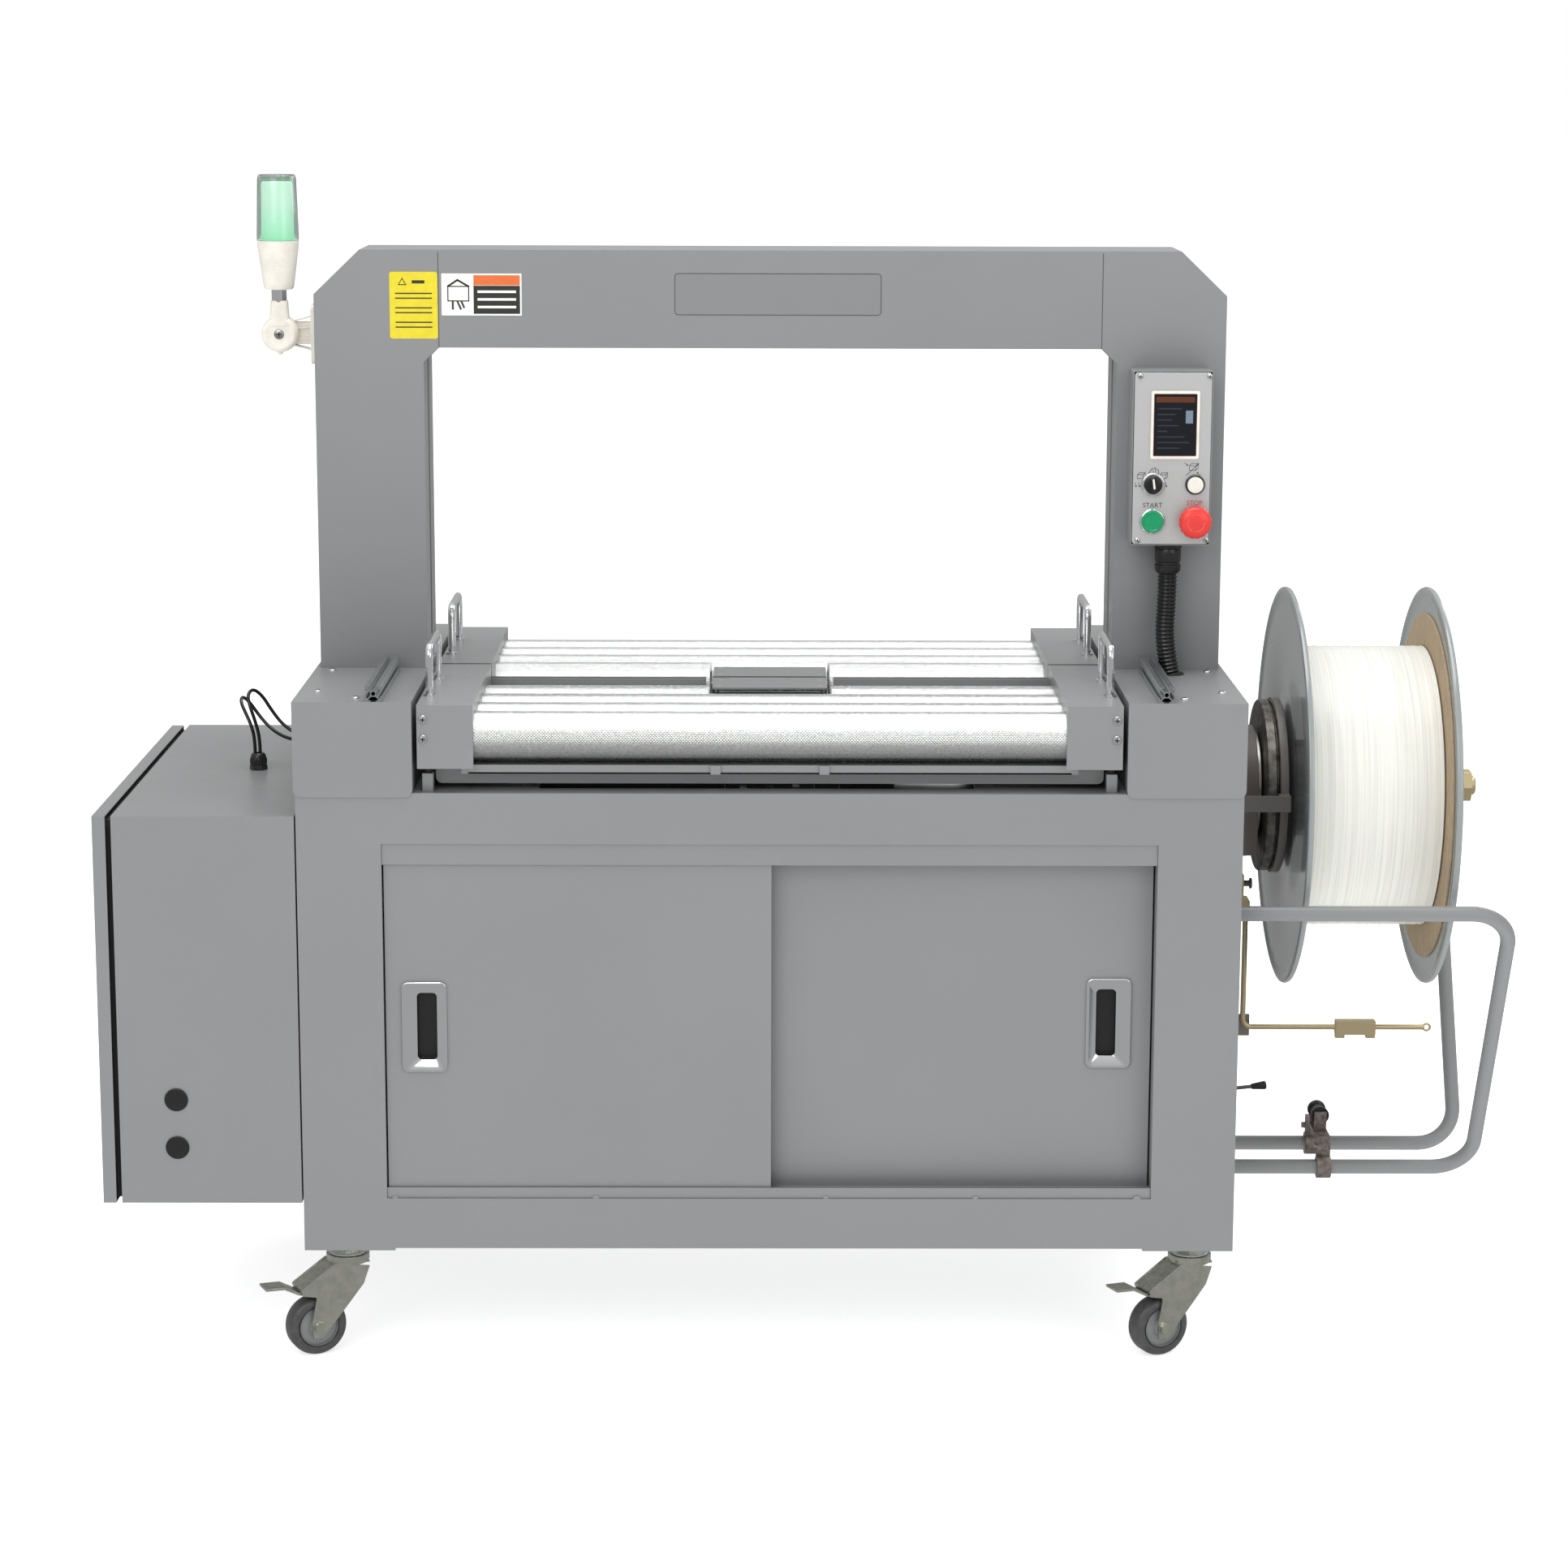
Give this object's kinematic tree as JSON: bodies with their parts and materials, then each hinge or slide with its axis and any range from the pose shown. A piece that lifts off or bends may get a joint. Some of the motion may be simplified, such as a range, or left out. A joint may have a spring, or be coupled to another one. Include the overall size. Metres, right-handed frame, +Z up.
{
  "type": "strapping machine",
  "caption": "Arch strapping machine on casters, with split roller tables, side electrical cabinet, control box, signal light, guarded strap reel and sliding service doors.",
  "frame": {"origin": "floor level, at the middle of the whole machine's footprint", "axes": "+Z up, +X to the operator's right along the machine's length, +Y away from the operator; the strap plane is the XZ plane"},
  "size_m": [1.7484, 0.6451, 1.455],
  "materials": {
    "grey_paint": "satin",
    "zinc_sheet": "zinc plated",
    "roller_steel": "knurled, nickel plated",
    "bright_steel": "turned",
    "chrome_plate": "polished",
    "rail_aluminium": "anodised",
    "yellow_zinc": "yellow passivated zinc",
    "brake_iron": "machined",
    "reel_paint": "gloss",
    "head_steel": "ground",
    "panel_plate": "printed, satin",
    "control_plastic": "moulded",
    "white_plastic": "moulded",
    "green_plastic": "moulded",
    "red_plastic": "moulded",
    "black_plastic": "moulded",
    "strap_plastic": "extruded, translucent",
    "reel_cardboard": "plain",
    "light_housing": "moulded",
    "light_lens": "clear, green inside",
    "caster_zinc": "pressed, zinc plated",
    "caster_tyre": "moulded",
    "cable_sheath": "glossy sheath",
    "electrics_plastic": "moulded",
    "fastener_steel": "zinc plated"
  },
  "bodies": {
    "machine_frame": {"base_frame": "grey_paint", "deck_plate": "grey_paint", "door_tracks": "zinc_sheet", "shoulder_covers": "grey_paint", "guide_rails": "rail_aluminium", "arch_frame": "grey_paint", "strap_track": "black_plastic", "sealing_head": "head_steel", "feed_unit": "head_steel", "elec_cabinet": "grey_paint", "elec_components": "electrics_plastic", "cable_fittings": "black_plastic", "control_box": "grey_paint", "control_panel": "panel_plate", "conduit": "cable_sheath", "signal_cable_1": "cable_sheath", "signal_cable_2": "cable_sheath", "tower_bracket": "light_housing", "brake_unit": "brake_iron", "guard_tubes": "grey_paint", "strap_guide_bracket": "yellow_zinc", "caster_stems": "fastener_steel", "screws": "fastener_steel"},
    "left_door": {"door_left": "grey_paint"},
    "right_door": {"door_right": "grey_paint"},
    "cabinet_door": {"elec_door": "grey_paint"},
    "selector": {"selector_knob": "control_plastic"},
    "reset_button": {"white_button": "white_plastic"},
    "green_button": {"start_button": "green_plastic"},
    "stop_mushroom": {"estop_button": "red_plastic"},
    "signal_light": {"tower_base": "light_housing", "tower_lens": "light_lens"},
    "reel": {"reel_flanges": "reel_paint", "strap_coil": "strap_plastic", "coil_cardboard": "reel_cardboard"},
    "brake_arm": {"brake_lever": "yellow_zinc"},
    "feed_lever": {"side_lever": "bright_steel"},
    "strap_roller": {"guide_roller": "black_plastic"},
    "table_front_half": {"table_front": "grey_paint", "table_front_handles": "chrome_plate"},
    "roller_front_1_turning": {"roller_front_1": "roller_steel"},
    "roller_front_2_turning": {"roller_front_2": "roller_steel"},
    "roller_front_3_turning": {"roller_front_3": "roller_steel"},
    "roller_front_4_turning": {"roller_front_4": "roller_steel"},
    "table_rear_half": {"table_rear": "grey_paint", "table_rear_handles": "chrome_plate"},
    "roller_rear_1_turning": {"roller_rear_1": "roller_steel"},
    "roller_rear_2_turning": {"roller_rear_2": "roller_steel"},
    "roller_rear_3_turning": {"roller_rear_3": "roller_steel"},
    "roller_rear_4_turning": {"roller_rear_4": "roller_steel"},
    "swivel_front_left": {"caster_fork_front_left": "caster_zinc"},
    "wheel_front_left": {"caster_wheel_front_left": "caster_tyre"},
    "pedal_front_left": {"caster_pedal_front_left": "caster_zinc"},
    "swivel_front_right": {"caster_fork_front_right": "caster_zinc"},
    "wheel_front_right": {"caster_wheel_front_right": "caster_tyre"},
    "pedal_front_right": {"caster_pedal_front_right": "caster_zinc"},
    "swivel_rear_left": {"caster_fork_rear_left": "caster_zinc"},
    "wheel_rear_left": {"caster_wheel_rear_left": "caster_tyre"},
    "swivel_rear_right": {"caster_fork_rear_right": "caster_zinc"},
    "wheel_rear_right": {"caster_wheel_rear_right": "caster_tyre"}
  },
  "joints": [
    {"name": "left_door_slide", "type": "slide", "parent": "machine_frame", "child": "left_door", "axis": [1, 0, 0], "range_m": [0, 0.44]},
    {"name": "right_door_slide", "type": "slide", "parent": "machine_frame", "child": "right_door", "axis": [-1, 0, 0], "range_m": [0, 0.44]},
    {"name": "cabinet_door_hinge", "type": "hinge", "parent": "machine_frame", "child": "cabinet_door", "pos_m": [-0.85475, 0.316, 0.4525], "axis": [0, 0, -1], "range_deg": [0, 110]},
    {"name": "selector_turn", "type": "hinge", "parent": "machine_frame", "child": "selector", "pos_m": [0.42525, -0.112, 1.0785], "axis": [0, 1, 0], "range_deg": [-45, 45]},
    {"name": "reset_press", "type": "slide", "parent": "machine_frame", "child": "reset_button", "axis": [0, 1, 0], "range_m": [0, 0.003], "stiffness_N_per_m": 300, "springref_m": -0.002},
    {"name": "start_press", "type": "slide", "parent": "machine_frame", "child": "green_button", "axis": [0, 1, 0], "range_m": [0, 0.003], "stiffness_N_per_m": 300, "springref_m": -0.002},
    {"name": "stop_press", "type": "slide", "parent": "machine_frame", "child": "stop_mushroom", "axis": [0, 1, 0], "range_m": [0, 0.004]},
    {"name": "signal_light_tilt", "type": "hinge", "parent": "machine_frame", "child": "signal_light", "pos_m": [-0.67225, 0, 1.256], "axis": [0, -1, 0], "range_deg": [0, 90]},
    {"name": "reel_spin", "type": "hinge", "parent": "machine_frame", "child": "reel", "pos_m": [0.52275, 0, 0.676], "axis": [1, 0, 0], "continuous": true},
    {"name": "brake_arm_swing", "type": "hinge", "parent": "machine_frame", "child": "brake_arm", "pos_m": [0.56975, 0, 0.545], "axis": [-1, 0, 0], "range_deg": [0, 25]},
    {"name": "feed_lever_tilt", "type": "hinge", "parent": "machine_frame", "child": "feed_lever", "pos_m": [0.50775, 0, 0.263], "axis": [0, 1, 0], "range_deg": [-20, 20]},
    {"name": "strap_roller_spin", "type": "hinge", "parent": "machine_frame", "child": "strap_roller", "pos_m": [0.67275, 0, 0.236], "axis": [0, 1, 0], "continuous": true},
    {"name": "table_front_lift", "type": "hinge", "parent": "machine_frame", "child": "table_front_half", "pos_m": [-0.05225, -0.012, 0.826], "axis": [-1, 0, 0], "range_deg": [0, 55]},
    {"name": "roller_front_1_spin", "type": "hinge", "parent": "table_front_half", "child": "roller_front_1_turning", "pos_m": [-0.05225, -0.288, 0.79], "axis": [1, 0, 0], "continuous": true},
    {"name": "roller_front_2_spin", "type": "hinge", "parent": "table_front_half", "child": "roller_front_2_turning", "pos_m": [-0.05225, -0.223, 0.79], "axis": [1, 0, 0], "continuous": true},
    {"name": "roller_front_3_spin", "type": "hinge", "parent": "table_front_half", "child": "roller_front_3_turning", "pos_m": [-0.05225, -0.158, 0.79], "axis": [1, 0, 0], "continuous": true},
    {"name": "roller_front_4_spin", "type": "hinge", "parent": "table_front_half", "child": "roller_front_4_turning", "pos_m": [-0.05225, -0.093, 0.79], "axis": [1, 0, 0], "continuous": true},
    {"name": "table_rear_lift", "type": "hinge", "parent": "machine_frame", "child": "table_rear_half", "pos_m": [-0.05225, 0.012, 0.826], "axis": [1, 0, 0], "range_deg": [0, 55]},
    {"name": "roller_rear_1_spin", "type": "hinge", "parent": "table_rear_half", "child": "roller_rear_1_turning", "pos_m": [-0.05225, 0.288, 0.79], "axis": [1, 0, 0], "continuous": true},
    {"name": "roller_rear_2_spin", "type": "hinge", "parent": "table_rear_half", "child": "roller_rear_2_turning", "pos_m": [-0.05225, 0.223, 0.79], "axis": [1, 0, 0], "continuous": true},
    {"name": "roller_rear_3_spin", "type": "hinge", "parent": "table_rear_half", "child": "roller_rear_3_turning", "pos_m": [-0.05225, 0.158, 0.79], "axis": [1, 0, 0], "continuous": true},
    {"name": "roller_rear_4_spin", "type": "hinge", "parent": "table_rear_half", "child": "roller_rear_4_turning", "pos_m": [-0.05225, 0.093, 0.79], "axis": [1, 0, 0], "continuous": true},
    {"name": "swivel_front_left_turn", "type": "hinge", "parent": "machine_frame", "child": "swivel_front_left", "pos_m": [-0.58125, -0.256, 0.128], "axis": [0, 0, 1], "continuous": true},
    {"name": "wheel_front_left_roll", "type": "hinge", "parent": "swivel_front_left", "child": "wheel_front_left", "pos_m": [-0.62113, -0.27459, 0.0375], "axis": [0.4226, -0.9063, 0], "continuous": true},
    {"name": "pedal_front_left_press", "type": "hinge", "parent": "swivel_front_left", "child": "pedal_front_left", "pos_m": [-0.61931, -0.27375, 0.0885], "axis": [0.4226, -0.9063, 0], "range_deg": [0, 14]},
    {"name": "swivel_front_right_turn", "type": "hinge", "parent": "machine_frame", "child": "swivel_front_right", "pos_m": [0.47675, -0.256, 0.128], "axis": [0, 0, 1], "continuous": true},
    {"name": "wheel_front_right_roll", "type": "hinge", "parent": "swivel_front_right", "child": "wheel_front_right", "pos_m": [0.43687, -0.27459, 0.0375], "axis": [0.4226, -0.9063, 0], "continuous": true},
    {"name": "pedal_front_right_press", "type": "hinge", "parent": "swivel_front_right", "child": "pedal_front_right", "pos_m": [0.43868, -0.27375, 0.0885], "axis": [0.4226, -0.9063, 0], "range_deg": [0, 14]},
    {"name": "swivel_rear_left_turn", "type": "hinge", "parent": "machine_frame", "child": "swivel_rear_left", "pos_m": [-0.58125, 0.256, 0.128], "axis": [0, 0, 1], "continuous": true},
    {"name": "wheel_rear_left_roll", "type": "hinge", "parent": "swivel_rear_left", "child": "wheel_rear_left", "pos_m": [-0.62113, 0.23741, 0.0375], "axis": [0.4226, -0.9063, 0], "continuous": true},
    {"name": "swivel_rear_right_turn", "type": "hinge", "parent": "machine_frame", "child": "swivel_rear_right", "pos_m": [0.47675, 0.256, 0.128], "axis": [0, 0, 1], "continuous": true},
    {"name": "wheel_rear_right_roll", "type": "hinge", "parent": "swivel_rear_right", "child": "wheel_rear_right", "pos_m": [0.43687, 0.23741, 0.0375], "axis": [0.4226, -0.9063, 0], "continuous": true}
  ],
  "couplings": [
    {"joint": "roller_front_2_spin", "follows": "roller_front_1_spin", "ratio": 1},
    {"joint": "roller_front_3_spin", "follows": "roller_front_1_spin", "ratio": 1},
    {"joint": "roller_front_4_spin", "follows": "roller_front_1_spin", "ratio": 1},
    {"joint": "roller_rear_2_spin", "follows": "roller_rear_1_spin", "ratio": 1},
    {"joint": "roller_rear_3_spin", "follows": "roller_rear_1_spin", "ratio": 1},
    {"joint": "roller_rear_4_spin", "follows": "roller_rear_1_spin", "ratio": 1}
  ]
}
